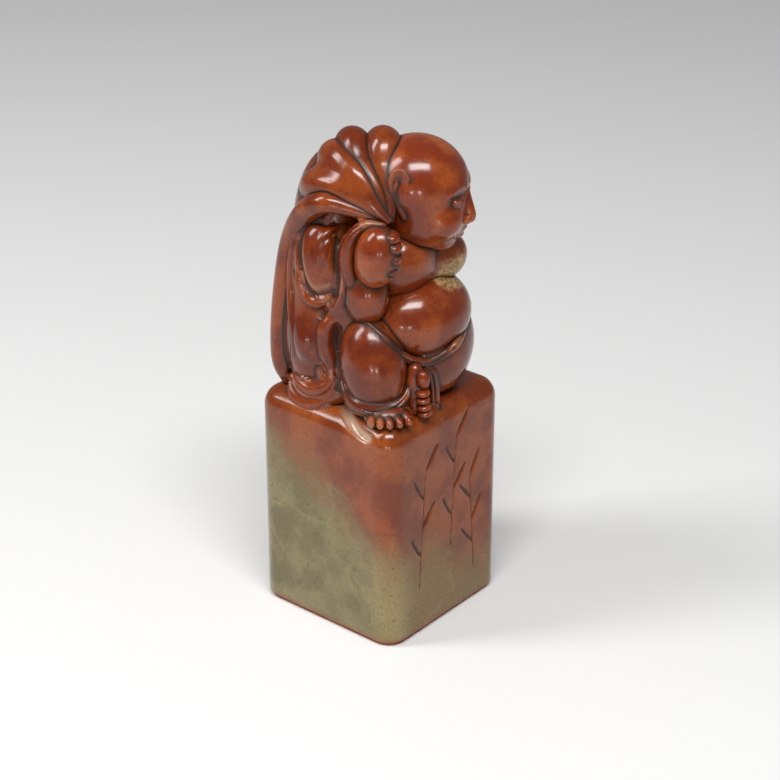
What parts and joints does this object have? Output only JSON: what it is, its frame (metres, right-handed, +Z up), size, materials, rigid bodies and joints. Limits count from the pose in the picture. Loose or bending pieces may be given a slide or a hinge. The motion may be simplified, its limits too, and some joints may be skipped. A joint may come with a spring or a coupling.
{
  "type": "seal stamp",
  "caption": "Square soft-stone seal stamp whose handle is a carved seated monk with a sack over the shoulder, for printing a mark with seal paste.",
  "frame": {"origin": "centre of the printing face, on the plane the seal stands on", "axes": "+Z up from the printing face through the block and the figure; the figure looks towards -Y; +X is the figure's left side"},
  "size_m": [0.025, 0.025, 0.0713],
  "materials": {
    "block_stone": "polished soapstone, orange-brown above, grey-green to tan below",
    "printing_stone": "flat ground soapstone with a trace of red paste",
    "skin_stone": "polished red-orange soapstone",
    "robe_stone": "polished red-brown soapstone with dark residue in the grooves",
    "sack_stone": "polished red-brown soapstone"
  },
  "bodies": {
    "root": {"belly": "skin_stone", "chest": "skin_stone", "head": "skin_stone", "left_breast": "skin_stone", "left_ear": "skin_stone", "left_fingers": "skin_stone", "left_foot": "skin_stone", "left_hand": "skin_stone", "left_leg": "robe_stone", "left_sleeve": "robe_stone", "left_toes": "skin_stone", "left_trouser_hem": "robe_stone", "nose": "skin_stone", "printing_border": "printing_stone", "printing_relief": "printing_stone", "right_breast": "skin_stone", "right_cuff": "robe_stone", "right_ear": "skin_stone", "right_fingers": "skin_stone", "right_foot": "skin_stone", "right_hand": "skin_stone", "right_leg": "robe_stone", "right_toes": "skin_stone", "right_trouser_hem": "robe_stone", "robe": "robe_stone", "robe_fold_back": "robe_stone", "robe_fold_front": "robe_stone", "robe_hem_lower": "robe_stone", "robe_hem_upper": "robe_stone", "sack": "sack_stone", "sack_edge": "sack_stone", "sack_flute_1": "sack_stone", "sack_flute_2": "sack_stone", "sack_flute_3": "sack_stone", "sack_flute_4": "sack_stone", "seal_block": "block_stone", "sleeve_fold_inner": "robe_stone", "sleeve_fold_outer": "robe_stone", "sleeve_rib": "robe_stone", "sleeve_rim": "robe_stone", "waistband": "robe_stone"}
  },
  "joints": []
}
